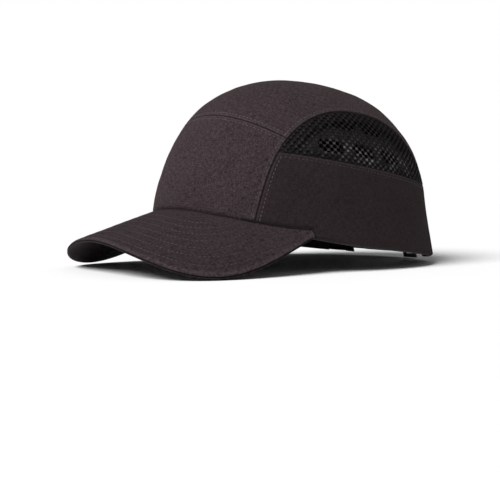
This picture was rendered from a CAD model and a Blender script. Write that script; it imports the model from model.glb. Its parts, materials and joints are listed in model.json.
# %% [markdown]
# # A bump cap, dressed in cloth
# The frame that this script loads is the cap as its pattern maker draws it: thin, plain layers in
# their true places. Here each layer becomes what it is on the real cap: canvas with rolled seams and
# topstitching, knitted mesh with open holes, a padded insert. We start by loading the frame.

# %% Load the frame
import json
import math

import bmesh
import bpy
import numpy as np
from mathutils import Matrix, Vector, noise
from mathutils.bvhtree import BVHTree
from mathutils.kdtree import KDTree


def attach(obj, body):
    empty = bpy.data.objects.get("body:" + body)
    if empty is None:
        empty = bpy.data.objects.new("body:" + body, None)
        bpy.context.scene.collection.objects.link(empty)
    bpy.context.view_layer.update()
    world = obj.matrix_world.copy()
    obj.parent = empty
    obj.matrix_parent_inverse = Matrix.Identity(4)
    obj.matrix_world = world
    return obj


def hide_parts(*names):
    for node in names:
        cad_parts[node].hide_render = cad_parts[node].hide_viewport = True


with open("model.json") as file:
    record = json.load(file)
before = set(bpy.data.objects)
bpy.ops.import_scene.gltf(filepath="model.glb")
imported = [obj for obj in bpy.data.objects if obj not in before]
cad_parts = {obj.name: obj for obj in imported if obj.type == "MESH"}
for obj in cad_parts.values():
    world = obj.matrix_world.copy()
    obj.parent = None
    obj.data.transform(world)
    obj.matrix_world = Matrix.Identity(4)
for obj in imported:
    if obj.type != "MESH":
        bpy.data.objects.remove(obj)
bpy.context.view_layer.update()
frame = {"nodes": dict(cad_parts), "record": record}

MM = 0.001

# %% [markdown]
# The cap lies tipped back on the table, but its maker thinks in the plane of its rim. The head
# opening in the record gives that plane, so we model there, where seams are simple planes, and lay
# each finished piece down at the end with one matrix.

# %% The rim's own frame
opening = frame["record"]["mounts"][0]
down = Vector(opening["axis"])
tilt = math.atan2(-down.y, -down.z)
LAY = Matrix.Translation(opening["pos_m"]) @ Matrix.Rotation(-tilt, 4, "X")
LIFT = LAY.inverted()
print("the cap lies tipped by", round(math.degrees(tilt), 2), "degrees")


def cad_arrays(*names):
    """Points, in the rim's frame, and faces of some nodes of the frame."""
    points, faces = [], []
    for name in names:
        mesh = frame["nodes"][name].data
        start = len(points)
        points += [LIFT @ v.co for v in mesh.vertices]
        faces += [[start + i for i in p.vertices] for p in mesh.polygons]
    return points, faces


def cad_surface(*names):
    return BVHTree.FromPolygons(*cad_arrays(*names))


def cad_box(*names):
    """Lowest and highest corners in the rim's frame."""
    points = np.array(cad_arrays(*names)[0])
    return Vector(points.min(0)), Vector(points.max(0))


# %% [markdown]
# Every piece goes through the same steps: it is made, its points are read and moved, and it is
# finished. Small helpers for those steps keep the later cells short.

# %% Start a piece and read or move its points
def choose(piece):
    bpy.ops.object.select_all(action="DESELECT")
    piece.select_set(True)
    bpy.context.view_layer.objects.active = piece


def apply_modifier(piece, kind, **settings):
    choose(piece)
    modifier = piece.modifiers.new(kind.title(), kind)
    for key, value in settings.items():
        setattr(modifier, key, value)
    bpy.ops.object.modifier_apply(modifier=modifier.name)


def mesh_piece(name, points, faces):
    mesh = bpy.data.meshes.new(name)
    mesh.from_pydata([tuple(p) for p in points], [], [tuple(f) for f in faces])
    piece = bpy.data.objects.new(name, mesh)
    bpy.context.scene.collection.objects.link(piece)
    return piece


def coordinates(piece):
    co = np.zeros(len(piece.data.vertices) * 3)
    piece.data.vertices.foreach_get("co", co)
    return co.reshape(-1, 3)


def vertex_normals(piece):
    normals = np.zeros(len(piece.data.vertices) * 3)
    piece.data.vertices.foreach_get("normal", normals)
    return normals.reshape(-1, 3)


def move_to(piece, co):
    piece.data.vertices.foreach_set("co", np.asarray(co, dtype=float).ravel())
    piece.data.update()


def paint(piece, **values):
    """Stores one number per vertex under each name, for the finishes to read."""
    for name, numbers in values.items():
        layer = piece.data.attributes.new(name, "FLOAT", "POINT")
        layer.data.foreach_set("value", numbers.astype(np.float32))


# %% [markdown]
# Cutting, merging and unwrapping are edit-mode tools. They work on what is selected, so one helper
# opens a piece, selects all of it, takes the steps it is given and closes it again.

# %% Change a whole piece at once
def drop_faces(piece, unwanted):
    edit = bmesh.new()
    edit.from_mesh(piece.data)
    spare = [f for f in edit.faces if unwanted(f)]
    bmesh.ops.delete(edit, geom=spare, context="FACES")
    edit.to_mesh(piece.data)
    edit.free()


def edit_all(piece, *steps):
    """Opens a piece for editing, selects all of it and takes each step."""
    choose(piece)
    bpy.ops.object.mode_set(mode="EDIT")
    bpy.ops.mesh.select_all(action="SELECT")
    for step in steps:
        step()
    bpy.ops.object.mode_set(mode="OBJECT")


def copy_of(piece, name):
    twin = piece.copy()
    twin.data = piece.data.copy()
    twin.name = name
    bpy.context.scene.collection.objects.link(twin)
    return twin


def tidy_faces(piece, distance=1e-6):
    edit_all(piece, lambda: bpy.ops.mesh.remove_doubles(threshold=distance),
             lambda: bpy.ops.mesh.normals_make_consistent(inside=False))


# %% [markdown]
# A panel of cloth has a flat pattern with its grain running one way. Unwrapping gives the pattern's
# shape, and two corrections give it its real size in millimetres and turn its warp upright, so that
# one weave can be drawn at true scale on every panel.

# %% Flatten a panel into its pattern
def scale_uv_to_millimetres(piece):
    """One unit of the UV map is one millimetre of cloth, so a weave has its real size."""
    mesh = piece.data
    mesh.calc_loop_triangles()
    uv = mesh.uv_layers.active.data
    flat = solid = 0.0
    for tri in list(mesh.loop_triangles)[:: max(1, len(mesh.loop_triangles) // 4000)]:
        a, b, c = (uv[i].uv for i in tri.loops)
        flat += abs((b - a).cross(c - a)) / 2
        solid += tri.area
    share = math.sqrt(solid / max(flat, 1e-12)) / MM
    values = np.zeros(len(uv) * 2)
    uv.foreach_get("uv", values)
    uv.foreach_set("uv", values * share)


def square_up(piece, upward):
    """Turns the UV map so that a direction in space, such as up, runs along the cloth's warp."""
    mesh = piece.data
    mesh.calc_loop_triangles()
    uv = mesh.uv_layers.active.data
    total = Vector((0, 0))
    for tri in list(mesh.loop_triangles)[:: max(1, len(mesh.loop_triangles) // 3000)]:
        a, b, c = (uv[i].uv for i in tri.loops)
        heights = [mesh.vertices[i].co.dot(upward) for i in tri.vertices]
        p, q, f, g = b - a, c - a, heights[1] - heights[0], heights[2] - heights[0]
        area = p.cross(q)
        if abs(area) > 1e-9:
            total += Vector(((f * q.y - g * p.y) / area, (g * p.x - f * q.x) / area)) * tri.area
    turn = math.pi / 2 - math.atan2(total.y, total.x)
    values = np.zeros(len(uv) * 2)
    uv.foreach_get("uv", values)
    u, v = values[0::2].copy(), values[1::2].copy()
    values[0::2] = u * math.cos(turn) - v * math.sin(turn)
    values[1::2] = u * math.sin(turn) + v * math.cos(turn)
    uv.foreach_set("uv", values)


def unwrap(piece, upward=Vector((0, 0, 1))):
    """Flattens a panel into its pattern, with its real size and its warp along one direction."""
    edit_all(piece, lambda: bpy.ops.uv.unwrap(method="ANGLE_BASED", margin=0.0))
    scale_uv_to_millimetres(piece)
    square_up(piece, upward)


# %% [markdown]
# Every finished piece is laid down on the table, rides on one moving body, wears one finish and
# stands for the plain layers that it replaces.

# %% Finish a piece
def finish(piece, body, slot, *nodes, angle=50):
    """Lays a piece down on the table and ties it to its body, its finish and the nodes it stands for."""
    piece.data.transform(LAY)
    choose(piece)
    bpy.ops.object.shade_smooth_by_angle(angle=math.radians(angle))
    piece.data.materials.clear()
    piece.data.materials.append(FINISH[slot])
    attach(piece, body)
    if nodes:
        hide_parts(*nodes)
    print(piece.name, "has", len(piece.data.polygons), "faces")
    return piece


# %% [markdown]
# ## Finishes
# Shader maths reads best as plain expressions, so a small class wraps a socket and turns Python's
# operators into Math nodes.

# %% A socket with operators
class Flow:
    """A socket of one material. Operators add Math nodes; node() adds any other."""

    def __init__(self, tree, socket=None):
        self.tree, self.socket = tree, socket

    def node(self, kind, settings=None, inputs=None, out=0):
        made = self.tree.nodes.new(kind)
        for key, value in (settings or {}).items():
            if key == "stops":
                ramp = made.color_ramp
                while len(ramp.elements) < len(value):
                    ramp.elements.new(0.5)
                for element, (place, colour) in zip(ramp.elements, value):
                    element.position, element.color = place, colour
            else:
                setattr(made, key, value)
        for key, value in (inputs or {}).items():
            if isinstance(value, Flow):
                self.tree.links.new(value.socket, made.inputs[key])
            else:
                made.inputs[key].default_value = value
        return Flow(self.tree, made.outputs[out])

    def math(self, operation, *values):
        return self.node("ShaderNodeMath", {"operation": operation}, dict(enumerate(values)))

    def __add__(self, other): return self.math("ADD", self, other)
    def __radd__(self, other): return self.math("ADD", other, self)
    def __sub__(self, other): return self.math("SUBTRACT", self, other)
    def __rsub__(self, other): return self.math("SUBTRACT", other, self)
    def __mul__(self, other): return self.math("MULTIPLY", self, other)
    def sine(self): return self.math("SINE", self)
    def size(self): return self.math("ABSOLUTE", self)
    def larger(self, other): return self.math("MAXIMUM", self, other)
    def smaller(self, other): return self.math("MINIMUM", self, other)

    def within(self, low, high):
        return self.node("ShaderNodeMapRange", {"interpolation_type": "SMOOTHSTEP"},
                         {"Value": self, "From Min": low, "From Max": high})

    def part(self, index):
        return self.node("ShaderNodeSeparateXYZ", None, {"Vector": self}, index)

    def scaled(self, x, y, z=1.0):
        return self.node("ShaderNodeVectorMath", {"operation": "MULTIPLY"}, {0: self, 1: (x, y, z)})

    def noise(self, scale, detail=2.0, rough=0.5):
        return self.node("ShaderNodeTexNoise", None,
                         {"Vector": self, "Scale": scale, "Detail": detail, "Roughness": rough})

    def blend(self, first, second):
        return self.node("ShaderNodeMix", {"data_type": "RGBA"}, {0: self, 6: first, 7: second}, 2)


def material(name, roughness=0.8, **constants):
    made = bpy.data.materials.new(name)
    made.use_nodes = True
    shader = made.node_tree.nodes["Principled BSDF"]
    shader.inputs["Roughness"].default_value = roughness
    for key, value in constants.items():
        shader.inputs[key.replace("_", " ").title().replace("Ior", "IOR")].default_value = value
    return made, Flow(made.node_tree), shader


def wire(made, shader, **links):
    for key, flow in links.items():
        made.node_tree.links.new(flow.socket, shader.inputs[key.replace("_", " ")])


def tint(colour, share=1.0):
    """A darker or paler colour, with its alpha."""
    return [c * share for c in colour] + [1]


def raised(flow, height, distance):
    return flow.node("ShaderNodeBump", None, {"Height": height, "Distance": distance})


# %% [markdown]
# Canvas is a plain weave: warp and weft pass over each other in a checkerboard. The UV map is in
# millimetres, so one thread is simply a fraction of a unit. Threads vary in thickness and shade, and
# single pale fibres catch the light. Along the folded edges the dye is a little worn.

# %% Woven cloth
def woven(name, colour, worn, thread=0.62, slub=0.45, relief=0.22, roughness=0.92, fleck=0.7,
          sheen=0.05, streak=3.0):
    made, flow, shader = material(name, roughness, sheen_weight=sheen, sheen_roughness=0.5,
                                  sheen_tint=(0.62, 0.50, 0.46, 1.0), specular_ior_level=0.06)
    uv = flow.node("ShaderNodeUVMap", {"uv_map": "UVMap"})
    wobble = uv.noise(0.35, 2.0) - 0.5
    u = uv.part(0) * (1 / thread) + wobble * 0.8
    v = uv.part(1) * (1 / thread) - wobble * 0.8
    across, along = (u * math.pi).sine(), (v * math.pi).sine()
    over = (across * along * 3.0).larger(-1.0).smaller(1.0) * 0.5 + 0.5
    warp_shade = uv.scaled(1.3, 0.30).noise(1.0, 3.0, 0.65)
    weft_shade = uv.scaled(0.30, 1.3).noise(1.0, 3.0, 0.65)
    shade = over * warp_shade + (1 - over) * weft_shade
    bulge = over * across.size() + (1 - over) * along.size()
    height = bulge * (1 - slub) + shade * slub
    patches = uv.noise(0.045, 3.0, 0.6)
    fibres = uv.noise(2.6, 3.0, 0.7).within(0.62, 0.80)
    tone = (warp_shade + weft_shade - 1) * streak + (patches - 0.5) * 0.5 + (bulge - 0.6) * 0.5 + 0.5
    base = tone.within(-0.3, 1.3).blend(tint(colour, 0.42), tint(colour, 1.6))
    flecked = (fibres * fleck).blend(base, tint(colour, 2.4))
    edge = flow.node("ShaderNodeAttribute", {"attribute_name": "worn"}, None, 2)
    rubbed = (edge * (uv.noise(0.5, 3.0, 0.65).within(0.35, 0.7)) * 0.8).blend(flecked, tint(worn))
    fold = flow.node("ShaderNodeAttribute", {"attribute_name": "crease"}, None, 2)
    shaded = (fold * 0.9).blend(rubbed, tint(colour, 0.18))
    wire(made, shader, Base_Color=shaded, Normal=raised(flow, height, relief * MM),
         Roughness=roughness + (shade - 0.5) * 0.12)
    return made


# %% [markdown]
# Sewing thread is two or three yarns twisted together, a touch glossier than the cloth. The twist is
# a slanted wave along the stitch.

# %% Thread and mesh yarn
def thread_finish(name, colour, gloss=0.5):
    made, flow, shader = material(name, gloss, sheen_weight=0.1, sheen_roughness=0.4,
                                  specular_ior_level=0.3)
    place = flow.node("ShaderNodeTexCoord", None, None, 3)
    strands = place.node("ShaderNodeTexNoise", None, {"Vector": place, "Scale": 2600.0, "Detail": 1.0})
    tone = place.noise(90.0, 2.0)
    base = (strands * 0.7 + tone * 0.5).within(0.3, 0.9).blend(tint(colour, 0.6), tint(colour, 1.35))
    wire(made, shader, Base_Color=base, Normal=raised(flow, strands, 0.08 * MM))
    return made


def net_finish(name, colour, lit):
    """Knitted net: dark filament yarn whose knots shine, more in some places than in others."""
    made, flow, shader = material(name, 0.5, specular_ior_level=0.06)
    place = flow.node("ShaderNodeTexCoord", None, None, 3)
    knot = flow.node("ShaderNodeAttribute", {"attribute_name": "knot"}, None, 2)
    patchy = place.noise(300.0, 1.0).within(0.30, 0.60)
    strands = place.noise(3200.0, 1.0)
    base = (knot * patchy).blend(tint(colour), tint(lit))
    wire(made, shader, Base_Color=base, Normal=raised(flow, strands, 0.06 * MM),
         Roughness=0.62 - knot * 0.22)
    return made


# %% [markdown]
# Webbing is woven in narrow ribs. Towelling and both kinds of fastening tape are small raised tufts,
# which cells of a Voronoi texture draw well because no two tufts are alike.

# %% Webbing and pile
def ribbed(name, colour, rib=1.1, relief=0.18, roughness=0.75):
    """Webbing and tape: fine ribs across, with a selvedge's even yarns along."""
    made, flow, shader = material(name, roughness, sheen_weight=0.06, sheen_roughness=0.5,
                                  specular_ior_level=0.15)
    uv = flow.node("ShaderNodeUVMap", {"uv_map": "UVMap"})
    ribs = (uv.part(0) * (math.pi / rib)).sine().size()
    yarns = (uv.part(1) * (math.pi / (0.5 * rib)) + (uv.part(0) * (math.pi / rib)).sine()).sine().size()
    shade = uv.noise(1.4, 3.0, 0.6)
    height = ribs * 0.7 + yarns * 0.3
    base = (height * 0.6 + shade * 0.6).within(0.2, 1.1).blend(tint(colour, 0.6), tint(colour, 1.45))
    wire(made, shader, Base_Color=base, Normal=raised(flow, height, relief * MM),
         Roughness=roughness + (shade - 0.5) * 0.15)
    return made


def pile(name, colour, loop=0.7, relief=0.4, roughness=0.92, sheen=0.1):
    """Towelling, hook tape and loop tape: small raised cells in object space."""
    made, flow, shader = material(name, roughness, sheen_weight=sheen, sheen_roughness=0.5,
                                  sheen_tint=(0.6, 0.55, 0.52, 1.0), specular_ior_level=0.2)
    place = flow.node("ShaderNodeTexCoord", None, None, 3)
    cells = place.node("ShaderNodeTexVoronoi", None, {"Vector": place, "Scale": 1 / (loop * MM)})
    tufts = 1 - cells
    shade = place.noise(60.0, 3.0, 0.6)
    base = (tufts * 0.7 + shade * 0.6).within(0.3, 1.2).blend(tint(colour, 0.5), tint(colour, 1.5))
    wire(made, shader, Base_Color=base, Normal=raised(flow, tufts, relief * MM),
         Roughness=roughness + (shade - 0.5) * 0.1)
    return made


# %% [markdown]
# The ring, the shell and the peak's board come out of moulds, whose fine grain they keep. The pads'
# jersey is a fine knit over soft foam, so its relief mixes a small noise and a large one.

# %% Moulded plastic and foam
def moulded(name, colour, roughness=0.45, grain=0.5, relief=0.03):
    """Injection-moulded plastic: a fine spark-eroded grain and faint scuffs."""
    made, flow, shader = material(name, roughness, specular_ior_level=0.5)
    place = flow.node("ShaderNodeTexCoord", None, None, 3)
    texture = place.noise(1 / (grain * MM), 3.0, 0.6)
    scuffs = place.node("ShaderNodeTexNoise", None, {"Vector": place.scaled(1, 6, 1), "Scale": 70.0,
                                                     "Detail": 6.0, "Roughness": 0.7}).within(0.55, 0.7)
    base = (scuffs * 0.5 + texture * 0.2).blend(tint(colour), [c * 2.2 + 0.01 for c in colour] + [1])
    wire(made, shader, Base_Color=base, Normal=raised(flow, texture, relief * MM),
         Roughness=roughness + scuffs * 0.2 + (texture - 0.5) * 0.1)
    return made


def foam_finish(name, colour):
    """Foam under brushed jersey: a fine knit over soft cells."""
    made, flow, shader = material(name, 0.9, sheen_weight=0.08, sheen_roughness=0.5,
                                  specular_ior_level=0.1)
    place = flow.node("ShaderNodeTexCoord", None, None, 3)
    knit = place.noise(1400.0, 2.0, 0.5)
    soft = place.noise(120.0, 3.0, 0.55)
    base = (knit * 0.6 + soft * 0.6).within(0.3, 0.95).blend(tint(colour, 0.7), tint(colour, 1.3))
    wire(made, shader, Base_Color=base, Normal=raised(flow, knit * 0.4 + soft, 0.25 * MM))
    return made


# %% [markdown]
# Each finish has the name that the frame gives to that material. The same charcoal dye is used a
# shade lighter or darker from panel to panel, as it is between real batches and in shaded parts.

# %% Finishes by name
CHARCOAL = (0.0345, 0.0245, 0.0274)
RUBBED = (0.080, 0.062, 0.066)
SOOT = (0.008, 0.0065, 0.007)
FINISH = {
    "crown_cloth": woven("charcoal canvas", CHARCOAL, RUBBED),
    "side_cloth": woven("charcoal canvas, side", [c * 0.58 for c in CHARCOAL],
                        [c * 0.6 for c in RUBBED], streak=1.7),
    "peak_cloth": woven("charcoal canvas, peak", [c * 0.82 for c in CHARCOAL], RUBBED,
                        streak=3.2, fleck=0.8),
    "peak_under_cloth": woven("charcoal canvas, under the peak", [c * 0.55 for c in CHARCOAL],
                              [c * 0.6 for c in RUBBED]),
    "vent_mesh": net_finish("mesh yarn", (0.0068, 0.0052, 0.0057), (0.300, 0.265, 0.275)),
    "stiffener": pile("buckram", (0.30, 0.28, 0.26), loop=1.2, relief=0.2),
    "seam_tape": pile("seam tape", SOOT, loop=0.5, relief=0.15),
    "towelling": pile("towelling", (0.034, 0.027, 0.029), loop=0.9, sheen=0.15),
    "binding_tape": ribbed("binding tape", (0.016, 0.012, 0.013), rib=0.6, relief=0.12),
    "webbing": ribbed("webbing", (0.014, 0.011, 0.012)),
    "loop_pile": pile("loop pile", (0.014, 0.012, 0.013), loop=0.5, relief=0.5),
    "hook_tape": pile("hook tape", (0.012, 0.011, 0.011), loop=1.1, relief=0.6, roughness=0.6, sheen=0.1),
    "peak_board": moulded("peak board", (0.02, 0.02, 0.02)),
    "ring_plastic": moulded("ring plastic", (0.014, 0.014, 0.015), roughness=0.3),
    "shell_plastic": moulded("shell plastic", (0.016, 0.016, 0.017), roughness=0.5),
    "foam": foam_finish("foam under jersey", (0.022, 0.021, 0.023)),
}
SEWING_THREAD = thread_finish("sewing thread", (0.080, 0.066, 0.070), 0.55)
PEAK_THREAD = thread_finish("peak thread", (0.052, 0.041, 0.045), 0.45)
for node_name, node in frame["nodes"].items():
    slot_name = next(s["material_slot"] for s in frame["record"]["subparts"] if s["node"] == node_name)
    node.data.materials.clear()
    node.data.materials.append(FINISH[slot_name])
print(len(FINISH), "finishes are ready")


# %% [markdown]
# ## The crown
# All the crown's panels are cut from one form, as a hatter stretches cloth over a block. The form is
# a grid: columns run round the head and rows climb from the rim to the top. Each point is found by
# casting a ray from outside onto the frame's cloth, so that the form has exactly the frame's shape.
# The back opening has no cloth to hit, and there the form is filled in from both sides.

# %% The form
HEART = Vector((0, 0, 30 * MM))
FAR = 0.4
COLUMNS, ROWS = 400, 120
OPENING_HALF = math.radians(27)
LOWEST_CLIMB, HIGHEST_CLIMB = math.radians(-40), math.radians(10)
CLOTH_NODES = ("front_panel", "crown_panel", "left_mesh_vent", "right_mesh_vent",
               "left_side_panel", "right_side_panel")
cloth = cad_surface(*CLOTH_NODES)


def direction(turn, climb):
    """Unit vector at an angle round from the front and an angle above the level."""
    level = math.cos(climb)
    return Vector((math.sin(turn) * level, -math.cos(turn) * level, math.sin(climb)))


def reach(turn, climb):
    """Distance from the heart to the cloth's outside, or None where there is no cloth."""
    way = direction(turn, climb)
    hit = cloth.ray_cast(HEART + way * FAR, -way, FAR)[0]
    return None if hit is None else (hit - HEART).length


def rim_climb(turn):
    """The lowest angle at which cloth is hit."""
    low, high = LOWEST_CLIMB, HIGHEST_CLIMB
    for _ in range(14):
        middle = (low + high) / 2
        low, high = (low, middle) if reach(turn, middle) else (middle, high)
    return high


def filled(values, missing):
    """Fills in missing values round a closed ring from their neighbours on both sides."""
    ring = np.arange(len(values))
    return np.interp(ring, ring[~missing], values[~missing], period=len(values))


turns = np.arange(COLUMNS) * 2 * math.pi / COLUMNS
opening_columns = np.abs(turns - math.pi) < OPENING_HALF
lowest = filled(np.array([rim_climb(t) for t in turns]), opening_columns)
reaches = np.zeros((ROWS, COLUMNS))
for row in range(ROWS):
    climbs = lowest + (math.pi / 2 - lowest) * row / ROWS + 1e-5
    found = [reach(t, c) for t, c in zip(turns, climbs)]
    absent = np.array([f is None for f in found])
    reaches[row] = filled(np.array([f or 0.0 for f in found]), absent)
points = []
for row in range(ROWS):
    for column in range(COLUMNS):
        climb = lowest[column] + (math.pi / 2 - lowest[column]) * row / ROWS
        points.append(HEART + direction(turns[column], climb) * reaches[row, column])
points.append(HEART + Vector((0, 0, 1)) * reach(0.0, math.pi / 2 - 1e-4))
faces = []
for row in range(ROWS - 1):
    for column in range(COLUMNS):
        right = (column + 1) % COLUMNS
        faces.append((row * COLUMNS + column, row * COLUMNS + right,
                      (row + 1) * COLUMNS + right, (row + 1) * COLUMNS + column))
top = len(points) - 1
last_row = (ROWS - 1) * COLUMNS
faces += [(last_row + c, last_row + (c + 1) % COLUMNS, top) for c in range(COLUMNS)]
form = mesh_piece("form", points, faces)
apply_modifier(form, "SMOOTH", factor=0.3, iterations=2)
rim_ring = np.array(points[:COLUMNS])
co = coordinates(form)
co[:COLUMNS] = rim_ring
move_to(form, co)
form_tree = BVHTree.FromPolygons([Vector(c) for c in co], faces)
print("form:", len(faces), "faces, rim", round(rim_ring[:, 0].max() * 2000, 1), "mm wide")


def on_form(point):
    """The nearest place on the form and its outward normal."""
    place, normal, _, _ = form_tree.find_nearest(Vector(point))
    return place, normal


# %% [markdown]
# ## Seams
# A seam is a plane. Two panels meet there with their edges rolled in, which leaves a narrow ditch,
# and a row of topstitching runs along each side of it. Panels are cut with Bisect, and every seam
# also gets a few extra cuts beside it, so that the roll has edges to bend on.

# %% Seam planes
STITCH_OFFSET = 3.0 * MM
band_x = cad_box("front_panel")[1].x
seam_points = np.array(cad_arrays("crown_panel")[0])
front_line = seam_points[(np.abs(seam_points[:, 0]) < 2 * MM) & (seam_points[:, 1] < -60 * MM)]
forehead = Vector(front_line[front_line[:, 1].argmin()])
temple_line = seam_points[(np.abs(seam_points[:, 0]) > band_x - 1 * MM) & (seam_points[:, 1] < -30 * MM)]
temple = Vector(temple_line[temple_line[:, 2].argmin()])
front_slope = math.atan2(forehead.z - temple.z, temple.y - forehead.y)
vent_points = np.array(cad_arrays("left_mesh_vent")[0])
fore = vent_points[vent_points[:, 1] < -20 * MM]
aft = vent_points[vent_points[:, 1] > 20 * MM]
vent_front = Vector(fore[fore[:, 2].argmin()])
vent_back = Vector(aft[aft[:, 2].argmin()])
vent_slope = math.atan2(vent_front.z - vent_back.z, vent_back.y - vent_front.y)
print("seams: band", round(band_x / MM, 1), "front", round(math.degrees(front_slope), 1),
      "vent", round(math.degrees(vent_slope), 1), "at", round(vent_front.z / MM, 1))


class Seam:
    """A plane through a point. Its normal points to the side called over."""

    def __init__(self, point, normal):
        self.point, self.normal = Vector(point), Vector(normal).normalized()

    def beyond(self, co):
        return (co - np.array(self.point)) @ np.array(self.normal)

    def across(self, co, normals):
        """Distance from the seam measured over the cloth."""
        facing = np.clip(1 - (normals @ np.array(self.normal)) ** 2, 0.2, 1)
        return np.abs(self.beyond(co)) / np.sqrt(facing)


FRONT_SEAM = Seam(forehead, (0, math.sin(front_slope), math.cos(front_slope)))
VENT_SEAM = Seam(vent_front, (0, math.sin(vent_slope), math.cos(vent_slope)))
LEFT_SEAM = Seam((band_x, 0, 0), (1, 0, 0))
RIGHT_SEAM = Seam((-band_x, 0, 0), (-1, 0, 0))
BAND_SEAMS = {"left": LEFT_SEAM, "right": RIGHT_SEAM}


def bisect(piece, seam, keep=None, offset=0.0):
    """Cuts edges along a seam, or beside it. keep is over or under, to drop the other side."""
    edit_all(piece, lambda: bpy.ops.mesh.bisect(
        plane_co=seam.point + seam.normal * offset, plane_no=seam.normal,
        clear_inner=keep == "over", clear_outer=keep == "under"))


# %% [markdown]
# Near a seam the cloth sinks into the ditch and is pulled down again under the stitches. It also
# sinks at the hem and where the peak is sewn in. Between the seams it is free to wave a little.

# %% Rolled edges
ROLL_DEPTH, ROLL_WIDTH = 0.95 * MM, 1.1 * MM
STITCH_DEPTH, STITCH_WIDTH = 0.22 * MM, 0.55 * MM
HEM_DEPTH, HEM_WIDTH = 0.8 * MM, 1.8 * MM
ROOT_DEPTH, ROOT_WIDTH = 0.75 * MM, 1.1 * MM
PUCKER, PUCKER_SIZE = 0.14 * MM, 2.4 * MM
LOOSE_FROM_SEAM, LOOSE_FROM_HEM, LOOSE_FROM_ROOT = 14 * MM, 8 * MM, 10 * MM
SUPPORTS = (0.3 * MM, 0.65 * MM, 1.1 * MM, 2.4 * MM, 3.0 * MM, 3.6 * MM)


def undulation(point, size, amount):
    """Soft hollows of cloth: slow noise at a given size."""
    return amount * noise.noise(Vector(point) / size)


peak_surface = cad_surface("peak_top_cover")


def rim_height(turn):
    """The rim's height at one or many places round the head."""
    return np.interp(turn % (2 * math.pi), turns, rim_ring[:, 2], period=2 * math.pi)


def above_rim(co):
    """How high points are above the rim at their own place round the head."""
    return co[:, 2] - rim_height(np.arctan2(co[:, 0], -co[:, 1]))


def struck(surface, x, y, way=-1):
    """Where a ray falling (-1) or climbing (1) meets a surface, or None."""
    return surface.ray_cast(Vector((x, y, -way * FAR / 2)), Vector((0, 0, way)), FAR)[0]


# %% [markdown]
# The peak is sewn into the front of the crown. Rays falling on its cover, from the crown outwards,
# find where the cover begins, and those places are remembered as the peak's root.

# %% The peak's root
SKIN = ([], [])
root_points = []
for turn in np.linspace(-1.45, 1.45, 500):
    for distance in np.arange(70 * MM, 110 * MM, 0.5 * MM):
        hit = struck(peak_surface, math.sin(turn) * distance, -math.cos(turn) * distance)
        if hit is not None:
            root_points.append(on_form(hit)[0])
            break
root_tree = KDTree(len(root_points))
for i, point in enumerate(root_points):
    root_tree.insert(point, i)
root_tree.balance()
print("the peak meets the crown at", len(root_points), "traced points")


# %% [markdown]
# All these effects depend only on how far a point is from a seam, the hem or the root, so they are
# worked out for a whole panel at once and added along its normals. The same distances also say where
# the dye is worn and where a crease stays dark.

# %% Sew a panel's edges
def sew(piece, seams, wave=0.3 * MM, wave_size=22 * MM):
    """Rolls a panel's edges in, sinks the stitch row and lets the cloth between relax."""
    co, normals = coordinates(piece), vertex_normals(piece)
    near = np.full(len(co), 1.0)
    for seam in seams:
        near = np.minimum(near, seam.across(co, normals))
    sink = ROLL_DEPTH * np.clip(1 - near / ROLL_WIDTH, 0, 1) ** 2
    sink += STITCH_DEPTH * np.exp(-(((near - STITCH_OFFSET) / STITCH_WIDTH) ** 2))
    hem = np.clip(above_rim(co), 0, 1)
    sink += HEM_DEPTH * np.clip(1 - hem / HEM_WIDTH, 0, 1) ** 2
    root_crease, from_root = np.zeros(len(co)), np.full(len(co), 1.0)
    for i in np.nonzero((co[:, 1] < -35 * MM) & (co[:, 2] < 32 * MM))[0]:
        away = from_root[i] = root_tree.find(Vector(co[i]))[2]
        sink[i] += ROOT_DEPTH * math.exp(-((away / ROOT_WIDTH) ** 2))
        root_crease[i] = math.exp(-((away / (1.2 * MM)) ** 2))
    loose = np.clip(near / LOOSE_FROM_SEAM, 0, 1) * np.clip(hem / LOOSE_FROM_HEM, 0, 1)
    loose *= np.clip(from_root / LOOSE_FROM_ROOT, 0, 1)
    relax = loose * np.array([undulation(c, wave_size, wave) + undulation(c, wave_size * 0.35, wave * 0.3)
                             for c in co])
    pucker = np.array([noise.noise(Vector(c) / PUCKER_SIZE) for c in co])
    pucker *= PUCKER * np.exp(-(((near - STITCH_OFFSET) / (2.2 * MM)) ** 2))
    move_to(piece, co + normals * (relax + pucker - sink - 0.05 * MM)[:, None])
    worn = np.exp(-(((near - 1.15 * MM) / (0.6 * MM)) ** 2))
    crease = np.maximum(0.7 * np.exp(-((near / (0.45 * MM)) ** 2)), root_crease)
    paint(piece, worn=worn, crease=crease)
    start = len(SKIN[0])
    SKIN[0].extend(Vector(c) for c in coordinates(piece))
    SKIN[1].extend([start + i for i in p.vertices] for p in piece.data.polygons)


def cut_panel(name, cuts):
    """A copy of the form, cut along each (seam, side) and with support edges beside each seam."""
    piece = copy_of(form, name)
    for seam, side in cuts:
        bisect(piece, seam, keep=side)
    for seam, side in cuts:
        for offset in SUPPORTS:
            bisect(piece, seam, offset=offset if side == "over" else -offset)
    return piece


def thicken(piece, thickness):
    """Gives a panel its cloth's thickness, inwards from the outside face."""
    apply_modifier(piece, "SOLIDIFY", thickness=thickness, offset=-1.0, use_rim=True)


# %% [markdown]
# The form is now cut into the cap's six panels: the front panel, the crown panel that runs from the
# forehead over the top to the back, and on each side a mesh vent over a canvas side panel.

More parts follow.
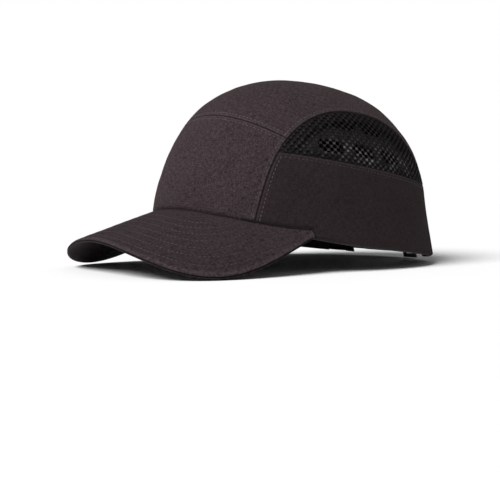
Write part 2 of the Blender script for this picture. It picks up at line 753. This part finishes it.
# %% Front and crown panels
CLOTH = 1.0 * MM
front = cut_panel("front_panel_canvas",
                  [(LEFT_SEAM, "under"), (RIGHT_SEAM, "under"), (FRONT_SEAM, "under")])
bisect(front, Seam((0, 0, 0), (0, -1, 0)), keep="over")
sew(front, [LEFT_SEAM, RIGHT_SEAM, FRONT_SEAM], wave=0.8 * MM, wave_size=24 * MM)
unwrap(front)
thicken(front, CLOTH)
finish(front, "cap", "crown_cloth", "front_panel")

crown = cut_panel("crown_panel_canvas", [(LEFT_SEAM, "under"), (RIGHT_SEAM, "under")])
for seam in (FRONT_SEAM, VENT_SEAM):
    for offset in (0.0,) + SUPPORTS:
        bisect(crown, seam, offset=offset)


def below_crown(face):
    middle = face.calc_center_median()
    seam = FRONT_SEAM if middle.y < 0 else VENT_SEAM
    return (middle - seam.point).dot(seam.normal) < 0


drop_faces(crown, below_crown)


class CrownEdge:
    """The crown panel's lower edge: the front seam ahead of the middle, the vent seam behind it."""

    def across(self, co, normals):
        return np.where(co[:, 1] < 0, FRONT_SEAM.across(co, normals), VENT_SEAM.across(co, normals))


sew(crown, [LEFT_SEAM, RIGHT_SEAM, CrownEdge()], wave=0.8 * MM, wave_size=30 * MM)
unwrap(crown, upward=Vector((0, 1, 0)))
thicken(crown, CLOTH)
finish(crown, "cap", "crown_cloth", "crown_panel")

# %% [markdown]
# Each side panel runs from the band's seam back to the middle of the nape. The back opening is cut
# from it a little wide, because the binding will cover the raw edge.

# %% Side panels
ARCH_RADIUS = 40 * MM
ARCH_SPRING = 4 * MM
BINDING_COVER, BINDING_WIDTH = 1.2 * MM, 5 * MM


def arch_distance(co):
    """How far a point is from the middle of the back opening, level or round its arch."""
    over = np.maximum(co[:, 2] - ARCH_SPRING, 0)
    return np.hypot(co[:, 0], over)


def drop_opening(piece, radius):
    co = coordinates(piece)
    inside = (arch_distance(co) < radius) & (co[:, 1] > 0)
    drop_faces(piece, lambda face: all(inside[v.index] for v in face.verts))


class FrontEdge:
    """A side panel's front edge: the band's seam, ahead of the middle only."""

    def __init__(self, seam):
        self.seam = seam

    def across(self, co, normals):
        return np.where(co[:, 1] < 0, self.seam.across(co, normals), 1.0)


for side, seam in BAND_SEAMS.items():
    sign = seam.normal.x
    half = Seam((0, 0, 0), (sign, 0, 0))
    panel = cut_panel(f"{side}_side_panel_canvas", [(VENT_SEAM, "under")])
    bisect(panel, half, keep="over")
    for offset in (0.0,) + SUPPORTS:
        bisect(panel, seam, offset=offset)
    drop_faces(panel, lambda f: f.calc_center_median().y < 0 and f.calc_center_median().x * sign < band_x)
    drop_opening(panel, ARCH_RADIUS + BINDING_COVER)
    sew(panel, [VENT_SEAM, FrontEdge(seam)], wave=0.8 * MM, wave_size=28 * MM)
    unwrap(panel)
    thicken(panel, CLOTH)
    finish(panel, "cap", "side_cloth", f"{side}_side_panel")

# %% [markdown]
# ## Mesh vents
# The vents are a warp-knitted net. We knit it flat: a grid of diamonds whose corners are the knots.
# Insetting every diamond and deleting the middles leaves only yarn. Each knot is then carried onto
# the form through the vent's unwrapped pattern, so that the net's holes keep their size everywhere.

# %% From the flat pattern to the form
KNOT_PITCH, KNOT_ROW = 5.0 * MM, 2.35 * MM
YARN, YARN_DEPTH = 0.45 * MM, 0.55 * MM
KNOT_BULGE, KNOT_SIZE = 0.35 * MM, 0.65 * MM


def flat_pattern(panel):
    """A search tree over a panel's unwrapped pattern, with the triangles it came from."""
    unwrap(panel)
    mesh = panel.data
    mesh.calc_loop_triangles()
    uv = mesh.uv_layers.active.data
    flat, solid = [], []
    for tri in mesh.loop_triangles:
        flat.append([Vector((*uv[i].uv, 0)) * MM for i in tri.loops])
        solid.append([mesh.vertices[i].co.copy() for i in tri.vertices])
    corners = [p for tri in flat for p in tri]
    tree = BVHTree.FromPolygons(corners, [(3 * i, 3 * i + 1, 3 * i + 2) for i in range(len(flat))])
    return tree, flat, solid, np.array(corners)


def to_form(pattern, place):
    """Carries a flat point onto the panel, and beyond its edge by the nearest triangle's plane."""
    tree, flat, solid, _ = pattern
    _, _, index, _ = tree.find_nearest(Vector((place[0], place[1], 0)))
    a, b, c = flat[index]
    d, e, f = b - a, c - a, Vector((place[0], place[1], 0)) - a
    area = d.x * e.y - d.y * e.x
    s, t = (f.x * e.y - f.y * e.x) / area, (d.x * f.y - d.y * f.x) / area
    p, q, r = solid[index]
    return p + (q - p) * s + (r - p) * t


# %% [markdown]
# The net hangs with its rows level from front to back. Its knots are laid out in the flat at that
# angle, and only the diamonds that lie on the panel are kept.

# %% Lay out the knots
def level_turn(panel):
    """The angle, in the flat pattern, of a line that runs from front to back."""
    mesh = panel.data
    uv = mesh.uv_layers.active.data
    middle = next(p for p in mesh.polygons if abs(p.center.y) < 4 * MM and p.center.z < 70 * MM)
    first, *others = middle.loop_indices
    place = {i: mesh.vertices[mesh.loops[i].vertex_index].co for i in middle.loop_indices}
    far = max(others, key=lambda i: abs((place[i] - place[first]).y))
    along = uv[far].uv - uv[first].uv
    return math.atan2(along.y, along.x)


def knot_grid(pattern, turn):
    """Knots in the flat, and the diamonds between them that lie on the panel."""
    low, high = pattern[3].min(0), pattern[3].max(0)
    centre = (low + high)[:2] / 2
    half = float(np.linalg.norm((high - low)[:2])) / 2 + KNOT_PITCH
    wide, tall = int(half / KNOT_PITCH) + 1, int(half / KNOT_ROW) + 1
    spots, index = [], {}
    for row in range(-tall, tall + 1):
        for column in range(-wide, wide + 1):
            x, y = (column + (row % 2) / 2) * KNOT_PITCH, row * KNOT_ROW
            index[row, column] = len(spots)
            spots.append((centre[0] + x * math.cos(turn) - y * math.sin(turn),
                          centre[1] + x * math.sin(turn) + y * math.cos(turn)))
    cells = []
    for row in range(-tall + 1, tall):
        for column in range(-wide + 1, wide):
            shift = row % 2
            cell = (index[row, column], index[row - 1, column + shift],
                    index[row, column + 1], index[row + 1, column + shift])
            middle = np.mean([spots[i] for i in cell], axis=0)
            place, _, _, away = pattern[0].find_nearest(Vector((middle[0], middle[1], 0)))
            if away < KNOT_PITCH / 2:
                cells.append(cell)
    return spots, cells


# %% [markdown]
# Now the yarn is made, carried onto the form and trimmed at the seams. Knots stand a little proud of
# the yarn between them, and the ones low on the vent catch the most light.

# %% Knit both vents
def vent(side, seam):
    """Knits one side's net, lays it on the form and trims it at its two seams."""
    panel = copy_of(form, "vent_pattern")
    bisect(panel, VENT_SEAM, keep="over")
    bisect(panel, seam, keep="over")
    pattern = flat_pattern(panel)
    spots, cells = knot_grid(pattern, level_turn(panel))
    used = sorted({i for cell in cells for i in cell})
    renamed = {old: new for new, old in enumerate(used)}
    net = mesh_piece(f"{side}_net", [(*spots[i], 0) for i in used],
                     [[renamed[i] for i in cell] for cell in cells])
    edit_all(net, lambda: bpy.ops.mesh.inset(thickness=YARN, use_individual=True),
             lambda: bpy.ops.mesh.delete(type="ONLY_FACE"),
             lambda: bpy.ops.mesh.select_all(action="SELECT"),
             lambda: bpy.ops.mesh.subdivide(number_cuts=1))
    knot_points = np.array([to_form(pattern, spots[i]) for i in used])
    move_to(net, [to_form(pattern, p) for p in coordinates(net)])
    tidy_faces(net, 1e-5)
    for cut in (VENT_SEAM, seam):
        bisect(net, cut, keep="over")
    co = coordinates(net)
    outward = np.array([on_form(c)[1] for c in co])
    near = np.minimum(VENT_SEAM.across(co, outward), seam.across(co, outward))
    sink = ROLL_DEPTH * np.clip(1 - near / ROLL_WIDTH, 0, 1) ** 2
    bulge = np.zeros(len(co))
    for start in range(0, len(co), 2000):
        part = co[start:start + 2000]
        nearest = np.sqrt(((part[:, None, :] - knot_points[None, :, :]) ** 2).sum(2)).min(1)
        bulge[start:start + 2000] = KNOT_BULGE * np.exp(-((nearest / KNOT_SIZE) ** 2))
    move_to(net, co + outward * (bulge - sink - KNOT_BULGE)[:, None])
    low_part = np.exp(-(((VENT_SEAM.beyond(co) - 8 * MM) / (7 * MM)) ** 2))
    low_part *= np.exp(-(((co[:, 1] - 12 * MM) / (38 * MM)) ** 2))
    uneven = np.array([0.55 + 0.9 * noise.noise(Vector(c) / (9 * MM)) for c in co])
    shine = (bulge / KNOT_BULGE) ** 2 * (0.06 + 1.1 * low_part * np.clip(uneven, 0, 1))
    paint(net, knot=shine)
    if (vertex_normals(net) * outward).sum() < 0:
        edit_all(net, bpy.ops.mesh.flip_normals)
    thicken(net, YARN_DEPTH)
    apply_modifier(net, "SUBSURF", levels=1)
    bpy.data.objects.remove(panel)
    return finish(net, "cap", "vent_mesh", f"{side}_mesh_vent", angle=80)


for side, seam in BAND_SEAMS.items():
    vent(side, seam)

# %% [markdown]
# ## The peak
# The peak is a board between two covers. Seen from above, lines fan out from a point under the
# forehead, and each meets first the crown and then the peak's edge. Those lines are the columns of
# the grid. Heights come from rays dropped on the frame's covers. The covers roll over the edge and
# meet in a seam half-way down.

# %% The peak's fan of lines
PEAK_COLUMNS, PEAK_ROWS = 300, 92
ROW_GAP, ROW_FIRST, ROW_COUNT, ROWS_END = 6.3 * MM, 5.6 * MM, 7, 48 * MM
GROOVE, GROOVE_WIDTH = 0.13 * MM, 0.7 * MM
TUCK, TUCK_WIDTH = 0.6 * MM, 1.3 * MM
RIDGE = 0.04 * MM
COVER_CLOTH = 0.6 * MM
fan_y = float(np.array(cad_arrays("peak_top_cover")[0])[:, 1].max())
under_surface = cad_surface("peak_under_cover")


def plan(turn, distance):
    """A place in plan on one line of the fan."""
    return Vector((math.sin(turn) * distance, fan_y - math.cos(turn) * distance, 0))


def top_height(place):
    hit = struck(peak_surface, place.x, place.y)
    return None if hit is None else hit.z


def under_height(place):
    hit = struck(under_surface, place.x, place.y, way=1)
    return None if hit is None else hit.z


def last_true(test, inside, outside):
    """The last place from inside to outside where a test still holds."""
    for _ in range(16):
        middle = (inside + outside) / 2
        inside, outside = (middle, outside) if test(middle) else (inside, middle)
    return inside


def board_at(turn):
    """A test that says whether the peak is there at a distance out from the fan's point."""
    return lambda distance: top_height(plan(turn, distance)) is not None


fan, roots, edges = [], [], []
for turn in np.linspace(math.radians(-89), math.radians(89), PEAK_COLUMNS):
    there = board_at(turn)
    hits = [d for d in np.arange(60 * MM, 150 * MM, 0.25 * MM) if there(d)]
    if len(hits) > 6:
        fan.append(turn)
        roots.append(last_true(there, hits[3], hits[0] - 1 * MM))
        edges.append(last_true(there, hits[-3], hits[-1] + 1 * MM))
fan, roots, edges = np.array(fan), np.array(roots), np.array(edges)
print("the peak is up to", round((edges - roots).max() / MM, 1), "mm deep, on", len(fan), "lines")


# %% [markdown]
# Both covers are grids on these lines. Near each row of stitches the cloth sinks into a groove, and
# between the rows it rises a little. Past the edge the rows turn down towards the seam.

# %% Peak covers
def peak_point(index, inward, level):
    """A point at a distance in from the edge, at a level from 0 (top) to 1 (underside)."""
    distance = edges[index] - inward
    safe = min(max(distance, roots[index] + 0.3 * MM), edges[index] - 0.3 * MM)
    high, low = top_height(plan(fan[index], safe)), under_height(plan(fan[index], safe))
    if high is None:
        high = low = top_height(plan(fan[index], (roots[index] + edges[index]) / 2))
    elif low is None:
        low = high
    place = plan(fan[index], distance)
    place.z = high + (low - high) * level
    return place


def cover(name, level, roll, side):
    """One cover: rows from the crown to near the edge, then the rows that roll over it."""
    grid = []
    for i in range(len(fan)):
        deep = edges[i] - roots[i] + 1.6 * MM
        column = []
        start = min(2.4 * MM, deep * 0.5)
        for k in range(PEAK_ROWS):
            inward = start + (deep - start) * (1 - k / (PEAK_ROWS - 1))
            place = peak_point(i, inward, level)
            groove = sum(math.exp(-(((inward - ROW_FIRST - ROW_GAP * r) / GROOVE_WIDTH) ** 2))
                         for r in range(ROW_COUNT))
            tuck = math.exp(-(((deep - inward) / TUCK_WIDTH) ** 2))
            ridge = 1.0
            if ROW_FIRST < inward < ROWS_END:
                ridge = math.cos((inward - ROW_FIRST) / ROW_GAP * 2 * math.pi)
            place.z += side * (-GROOVE * groove - TUCK * tuck - RIDGE * ridge
                               + undulation(place, 17 * MM, 0.16 * MM))
            column.append(place)
        column += [peak_point(i, min(inward, start), part) for inward, part in roll]
        grid.append(column)
    rows = len(grid[0])
    points = [p for column in grid for p in column]
    faces = [(i * rows + k, (i + 1) * rows + k, (i + 1) * rows + k + 1, i * rows + k + 1)
             for i in range(len(grid) - 1) for k in range(rows - 1)]
    piece = mesh_piece(name, points, faces)
    outward = np.array([math.hypot(p.x, p.y - fan_y) for p in points])
    inward = np.maximum(np.repeat(edges, rows) - outward, 0)
    worn = np.exp(-(((inward - 0.9 * MM) / (0.9 * MM)) ** 2)) * 0.9
    from_root = np.maximum(outward - np.repeat(roots, rows), 0)
    tucked = np.array([k > PEAK_ROWS + 3 for column in grid for k in range(len(column))]) * 1.0
    crease = np.maximum(np.exp(-((from_root / (0.9 * MM)) ** 2)), tucked)
    paint(piece, worn=worn, crease=crease)
    tidy_faces(piece, 1e-6)
    if (vertex_normals(piece)[:, 2] * side).sum() < 0:
        edit_all(piece, bpy.ops.mesh.flip_normals)
    return piece, grid


TOP_ROLL = ((1.5 * MM, 0.03), (0.8 * MM, 0.10), (0.3 * MM, 0.21), (0.05 * MM, 0.33), (0.15 * MM, 0.43),
            (0.6 * MM, 0.48), (1.8 * MM, 0.49))
UNDER_ROLL = ((1.5 * MM, 0.97), (0.8 * MM, 0.90), (0.35 * MM, 0.80), (0.15 * MM, 0.69), (0.3 * MM, 0.58),
              (0.7 * MM, 0.53), (1.8 * MM, 0.52))
peak_top, peak_grid = cover("peak_top_canvas", 0.0, TOP_ROLL, 1)
peak_under, _ = cover("peak_under_canvas", 1.0, UNDER_ROLL, -1)
for piece, slot, node in ((peak_top, "peak_cloth", "peak_top_cover"),
                          (peak_under, "peak_under_cloth", "peak_under_cover")):
    unwrap(piece, upward=Vector((0, 1, 0)))
    thicken(piece, COVER_CLOTH)
    finish(piece, "cap", slot, node)

# %% [markdown]
# ## Stitches
# A stitch is one bead of thread that dives into the cloth at both ends. One bead is modelled from a
# cylinder, and copies of it are set nose to tail along each seam. Rows follow the seam at a fixed
# distance measured over the cloth.

# %% One stitch
def stitch_bead(length=2.3 * MM, radius=0.23 * MM):
    bpy.ops.mesh.primitive_cylinder_add(vertices=6, radius=radius, depth=length,
                                        rotation=(0, math.pi / 2, 0))
    bead = bpy.context.active_object
    bpy.ops.object.transform_apply(rotation=True)
    for place in (-0.36, -0.15, 0.15, 0.36):
        bisect(bead, Seam((place * length, 0, 0), (1, 0, 0)))
    co = coordinates(bead)
    along = np.abs(co[:, 0]) / (length / 2)
    co[:, 1:] *= (1 - 0.75 * along ** 3)[:, None]
    co[:, 2] -= 1.3 * radius * along ** 3
    faces = [list(p.vertices) for p in bead.data.polygons]
    bpy.data.objects.remove(bead)
    return co, faces


BEAD, BEAD_FACES = stitch_bead()
print("one stitch has", len(BEAD), "points")
skin_tree = BVHTree.FromPolygons(*SKIN)


# %% [markdown]
# A row of stitches starts from its seam. The seam's line is cut from the form as a chain of points,
# moved sideways by the stitch distance and divided into equal steps, one for each bead.

# %% Follow a seam
def trace(seam, wanted):
    """The seam's line over the form, as one chain of points."""
    edit = bmesh.new()
    edit.from_mesh(form.data)
    cut = bmesh.ops.bisect_plane(edit, geom=edit.verts[:] + edit.edges[:] + edit.faces[:], dist=1e-7,
                                 plane_co=seam.point, plane_no=seam.normal)["geom_cut"]
    lines = [e for e in cut if isinstance(e, bmesh.types.BMEdge) and all(wanted(v.co) for v in e.verts)]
    links = {}
    for line in lines:
        a, b = line.verts
        links.setdefault(a, []).append(b)
        links.setdefault(b, []).append(a)
    start = next((v for v, near in links.items() if len(near) == 1), next(iter(links)))
    chain, previous, current = [start.co.copy()], None, start
    while True:
        following = [v for v in links[current] if v is not previous]
        if not following or (len(chain) > 2 and following[0] is start):
            break
        previous, current = current, following[0]
        chain.append(current.co.copy())
    edit.free()
    return chain


def evenly(chain, gap):
    """Points at equal distances along a chain."""
    chain = np.array([list(p) for p in chain])
    walked = np.concatenate([[0], np.cumsum(np.linalg.norm(np.diff(chain, axis=0), axis=1))])
    places = np.arange(gap / 2, walked[-1], gap)
    return np.stack([np.interp(places, walked, chain[:, k]) for k in range(3)], axis=1)


def beside(chain, offset):
    """The same line moved sideways over the cloth."""
    moved = []
    for i, point in enumerate(chain):
        ahead = Vector(chain[min(i + 3, len(chain) - 1)]) - Vector(chain[max(i - 3, 0)])
        place, normal = on_form(point)
        moved.append(on_form(Vector(point) + ahead.normalized().cross(normal) * offset)[0])
    return moved


def stitches(name, rows, body, tree, gap=2.9 * MM, lift=-0.02 * MM, thread=SEWING_THREAD):
    """Sets beads along every row and joins them into one piece."""
    points, faces = [], []
    for row in rows:
        spots = evenly(row, gap)
        for i, spot in enumerate(spots):
            ahead = Vector(spots[min(i + 1, len(spots) - 1)]) - Vector(spots[max(i - 1, 0)])
            place, normal, _, away = tree.find_nearest(Vector(spot))
            if ahead.length == 0 or place is None or away > 3 * MM:
                continue
            ahead = (ahead - normal * ahead.dot(normal)).normalized()
            turn = Matrix((ahead, normal.cross(ahead), normal)).transposed()
            start = len(points)
            points += [place + normal * lift + turn @ Vector(p) for p in BEAD]
            faces += [[start + k for k in f] for f in BEAD_FACES]
    piece = mesh_piece(name, points, faces)
    piece.data.transform(LAY)
    piece.data.materials.append(thread)
    choose(piece)
    bpy.ops.object.shade_smooth_by_angle(angle=math.radians(80))
    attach(piece, body)
    print(name, "has", len(points) // len(BEAD), "stitches")
    return piece


# %% [markdown]
# The rows of the brow seam and of the band's seams over the crown are sewn in the paler thread. Rows
# under the vents and across the nape are sunk deeper and sewn in a darker one.

# %% Topstitching of the crown
brow = trace(FRONT_SEAM, lambda c: c.y < 0 and abs(c.x) < band_x + 0.1 * MM)
bands = {side: trace(seam, lambda c: c.z > 0) for side, seam in BAND_SEAMS.items()}
vents = {side: trace(VENT_SEAM, lambda c, s=seam.normal.x: c.x * s > band_x - 0.1 * MM)
         for side, seam in BAND_SEAMS.items()}
nape = trace(VENT_SEAM, lambda c: c.y > 0 and abs(c.x) < band_x + 0.1 * MM)


def both_sides(chain):
    return [beside(chain, STITCH_OFFSET), beside(chain, -STITCH_OFFSET)]


def over_vent_seam(point):
    return float(VENT_SEAM.beyond(np.array(point)))


bright = both_sides(brow)
dim = [line for chain in vents.values() for line in both_sides(chain)
       if over_vent_seam(line[len(line) // 2]) < 0]
for chain in bands.values():
    inner, outer = sorted(both_sides(chain), key=lambda line: abs(line[len(line) // 2].x))
    bright.append([p for p in inner if over_vent_seam(p) > 0])
    dim.append([p for p in inner if p.y < 0 and over_vent_seam(p) < 0])
    bright.append([p for p in outer if p.y < 0 and over_vent_seam(p) < -STITCH_OFFSET])
dim += both_sides(nape)


def outside_arch(row):
    limit = ARCH_RADIUS + BINDING_WIDTH
    return [p for p in row if p.y <= 0 or arch_distance(np.array([list(p)]))[0] >= limit]


stitches("crown_topstitching", [outside_arch(r) for r in bright], "cap", skin_tree)
stitches("quiet_topstitching", [outside_arch(r) for r in dim], "cap", skin_tree,
         lift=-0.05 * MM, thread=PEAK_THREAD)

# %% [markdown]
# Seven rows hold the peak's covers to its board. They run parallel to its edge and stop where they
# meet the crown. The grid of the top cover serves as the surface that they lie on.

# %% Stitched rows of the peak
n = len(peak_grid[0])
peak_tree = BVHTree.FromPolygons(
    [p for column in peak_grid for p in column],
    [(i * n + k, i * n + k + 1, (i + 1) * n + k + 1, (i + 1) * n + k)
     for i in range(len(peak_grid) - 1) for k in range(n - 1)])
rows = []
for r in range(ROW_COUNT):
    inward = ROW_FIRST + ROW_GAP * r
    row = [peak_point(i, inward, 0.0) for i in range(len(fan))
           if edges[i] - roots[i] > inward + 1.0 * MM]
    if len(row) > 4:
        rows.append(row)
print("the peak has", len(rows), "rows of stitches")
stitches("peak_topstitching", rows, "cap", peak_tree, gap=2.8 * MM, lift=-0.06 * MM, thread=PEAK_THREAD)

# %% [markdown]
# ## The sweatband and the back
# The sweatband is towelling folded over and sewn inside the rim, so a little of its fold shows under
# the hem. One section is swept round the head, from one side of the back opening to the other, and
# each of its points is set in from the wall, so the band follows the crown's own shape.

# %% Sweatband
def wall(turn, height):
    """The form's wall at a place round the head and a height, with its outward normal."""
    way = Vector((math.sin(turn), -math.cos(turn), 0))
    level = max(height, float(rim_height(turn)) + 0.4 * MM)
    hit, normal, _, _ = form_tree.ray_cast(Vector((0, 0, level)) + way * FAR, -way, FAR)
    return hit + Vector((0, 0, height - level)), normal


band_points = np.array(cad_arrays("sweatband")[0])
rear = band_points[band_points[:, 1] > 40 * MM]
band_end = math.atan2(np.abs(rear[:, 0]).min() + 0.2 * MM, -rear[:, 1].max())
SECTION = ((2.05, 31.0), (2.05, 20.0), (2.05, 10.0), (2.05, 4.0), (2.0, 1.2), (1.7, 0.2),
           (1.55, -0.6), (1.75, -1.25), (2.3, -1.65), (2.9, -1.7), (3.4, -1.3), (3.65, -0.6),
           (3.6, 0.4), (3.45, 1.4), (3.6, 3.0), (3.62, 10.0), (3.62, 20.0), (3.62, 30.0),
           (3.4, 31.6), (2.8, 31.9), (2.3, 31.7))
around = np.linspace(-band_end, band_end, 361)
points = []
for turn in around:
    rim = float(rim_height(turn))
    fold = 1 - 0.35 * min(max((abs(turn) - 1.5) / 0.8, 0), 1)
    for depth, height in SECTION:
        if height < 1.3:
            depth, height = 2.3 + (depth - 2.3) * (0.5 + 0.5 * fold), 0.9 + (height - 0.9) * fold
        place, normal = wall(turn, rim + height * MM)
        level = Vector((normal.x, normal.y, normal.z * 0.6)).normalized()
        points.append(place - level * depth * MM)
n = len(SECTION)
faces = [(i * n + k, i * n + (k + 1) % n, (i + 1) * n + (k + 1) % n, (i + 1) * n + k)
         for i in range(len(around) - 1) for k in range(n)]
faces += [list(range(n)), list(range((len(around) - 1) * n, len(around) * n))]
sweatband = mesh_piece("sweatband_towelling", points, faces)
tidy_faces(sweatband)
finish(sweatband, "cap", "towelling", "sweatband", angle=60)


# %% [markdown]
# The binding, strap, ring and patches are small and plain. Each starts from a merged copy of the
# frame's own mesh, is rebuilt in fine even cells and has its edges softened, as cut cloth and
# moulded plastic have.

# %% Worked copies
def wrap_uv(piece):
    """A pattern in millimetres, wound round the head: along by angle, across by height."""
    mesh = piece.data
    layer = mesh.uv_layers.new(name="UVMap")
    co = coordinates(piece)
    turn = np.arctan2(co[:, 0], co[:, 1]) * 105
    uv = np.stack([turn, co[:, 2] / MM], axis=1)
    corners = np.zeros(len(mesh.loops), dtype=int)
    mesh.loops.foreach_get("vertex_index", corners)
    layer.data.foreach_set("uv", uv[corners].ravel())


def worked(node, body, slot, cell=0.4 * MM, rounds=4, factor=0.5):
    piece = mesh_piece(node + "_piece", *cad_arrays(node))
    tidy_faces(piece, 1e-5)
    apply_modifier(piece, "REMESH", mode="VOXEL", voxel_size=cell)
    apply_modifier(piece, "SMOOTH", factor=factor, iterations=rounds)
    wrap_uv(piece)
    return finish(piece, body, slot, node, angle=60)


worked("rear_arch_binding", "cap", "binding_tape", cell=0.35 * MM, rounds=3)
binding_tree = cad_surface("rear_arch_binding")
row = []
for share in np.linspace(-0.12, 1.12, 160):
    turn = math.pi * min(max(share, 0), 1)
    drop = max(-share, share - 1, 0) * 100 * MM
    radius = ARCH_RADIUS + 3.4 * MM
    aim = Vector((radius * math.cos(turn), 0.2, ARCH_SPRING + radius * math.sin(turn) - drop))
    hit = binding_tree.ray_cast(aim, Vector((0, -1, 0)), 0.3)[0]
    if hit is not None:
        row.append(hit)
stitches("binding_stitches", [row], "cap", binding_tree, gap=2.8 * MM)
worked("adjuster_strap", "cap", "webbing", cell=0.42 * MM, rounds=3)
worked("ring_keeper", "cap", "webbing", cell=0.4 * MM, rounds=3)
worked("strap_tail", "tail", "webbing", cell=0.4 * MM, rounds=3)
worked("tail_hook_patch", "tail", "hook_tape", cell=0.35 * MM, rounds=2)
worked("strap_loop_patch", "cap", "loop_pile", cell=0.5 * MM, rounds=3)
worked("adjuster_ring", "ring", "ring_plastic", cell=0.3 * MM, rounds=5)


# %% [markdown]
# ## Padding
# The insert's pads are foam under brushed jersey. They are rebuilt in even cells and their edges are
# softened. A little air pressure in a cloth simulation then swells each one towards the head.

# %% Pads
def swell(piece, limit=1.0 * MM):
    """Blows the pad up a little, on the side towards the head only."""
    scene = bpy.context.scene
    before, normals = coordinates(piece), vertex_normals(piece)
    choose(piece)
    cloth_sim = piece.modifiers.new("Cloth", "CLOTH")
    cloth_sim.settings.use_pressure = True
    cloth_sim.settings.uniform_pressure_force = 4.0
    cloth_sim.settings.effector_weights.gravity = 0.0
    cloth_sim.point_cache.frame_end = 20
    for moment in range(1, 21):
        scene.frame_set(moment)
    bpy.ops.object.modifier_apply(modifier=cloth_sim.name)
    scene.frame_set(1)
    shift = coordinates(piece) - before
    size = np.linalg.norm(shift, axis=1)[:, None]
    shift *= np.minimum(1, limit / np.maximum(size, 1e-9))
    to_head = np.array([0, 0, 0.045]) - before
    to_head /= np.linalg.norm(to_head, axis=1)[:, None]
    share = np.clip((normals * to_head).sum(1) * 1.5, 0, 1)[:, None]
    move_to(piece, before + shift * share)
    most = (size * share).clip(0, limit).max()
    print(piece.name, "swelled by up to", round(float(most) / MM, 2), "mm")


def pad(node):
    piece = mesh_piece(node + "_pad", *cad_arrays(node))
    tidy_faces(piece, 1e-5)
    apply_modifier(piece, "REMESH", mode="VOXEL", voxel_size=1.5 * MM)
    apply_modifier(piece, "SMOOTH", factor=0.5, iterations=6)
    swell(piece)
    finish(piece, "insert", "foam", node, angle=80)
    return piece


for name in ("foam_front", "foam_rear", "foam_crown", "foam_left", "foam_right"):
    pad(name)

# %% [markdown]
# ## Light, floor and camera
# Dark cloth needs a soft key light from the front and above. A flat pale floor and a weak white sky
# fill the shade from below and behind, and the sky is seen as a plain white backdrop.

# %% Stage
SKY, KEY_POWER, KEY_SPREAD = 0.20, 3.95, 35
KEY_FROM = (0.10, -0.70, 0.70)
EYE = (0.50223, -0.37888, 0.04858)
EYE_SIDE, EYE_BACK = (0.59089, 0.80674, -0.00290), (0.80539, -0.58968, 0.06024)
FOCAL_LENGTH, SENSOR = 62.331, 36.0


def studio():
    bpy.ops.mesh.primitive_plane_add(size=14, location=(0, 0, 0))
    floor = bpy.context.active_object
    floor.name = "floor"
    made, _, shader = material("pale floor", 0.9, specular_ior_level=0.1)
    shader.inputs["Base Color"].default_value = (0.96, 0.96, 0.96, 1)
    floor.data.materials.append(made)
    world = bpy.data.worlds.new("studio")
    bpy.context.scene.world = world
    world.use_nodes = True
    tree = world.node_tree
    soft = tree.nodes["Background"]
    soft.inputs["Color"].default_value = (1, 1, 1, 1)
    soft.inputs["Strength"].default_value = SKY
    backdrop = tree.nodes.new("ShaderNodeBackground")
    backdrop.inputs["Color"].default_value = (1, 1, 1, 1)
    choice = tree.nodes.new("ShaderNodeMixShader")
    seen = tree.nodes.new("ShaderNodeLightPath")
    tree.links.new(seen.outputs["Is Camera Ray"], choice.inputs[0])
    tree.links.new(soft.outputs[0], choice.inputs[1])
    tree.links.new(backdrop.outputs[0], choice.inputs[2])
    tree.links.new(choice.outputs[0], tree.nodes["World Output"].inputs["Surface"])


def key_light(place, power, spread):
    light = bpy.data.lights.new("key", "SUN")
    light.energy, light.angle = power, math.radians(spread)
    lamp = bpy.data.objects.new("key", light)
    bpy.context.scene.collection.objects.link(lamp)
    lamp.rotation_euler = Vector(place).to_track_quat("Z", "Y").to_euler()


# %% [markdown]
# The camera stands low, off the cap's front left corner, and looks almost level at it.

# %% Camera
def camera():
    lens = bpy.data.cameras.new("camera")
    lens.sensor_width, lens.lens = SENSOR, FOCAL_LENGTH
    lens.clip_start, lens.clip_end = 0.01, 50
    eye = bpy.data.objects.new("camera", lens)
    bpy.context.scene.collection.objects.link(eye)
    side, back = Vector(EYE_SIDE), Vector(EYE_BACK).normalized()
    side = (side - back * side.dot(back)).normalized()
    up = back.cross(side)
    turn = Matrix((side, up, back)).transposed().to_4x4()
    eye.matrix_world = Matrix.Translation(EYE) @ turn
    bpy.context.scene.camera = eye


studio()
key_light(KEY_FROM, KEY_POWER, KEY_SPREAD)
camera()
bpy.context.scene.view_settings.view_transform = "Standard"
bpy.data.objects.remove(form)
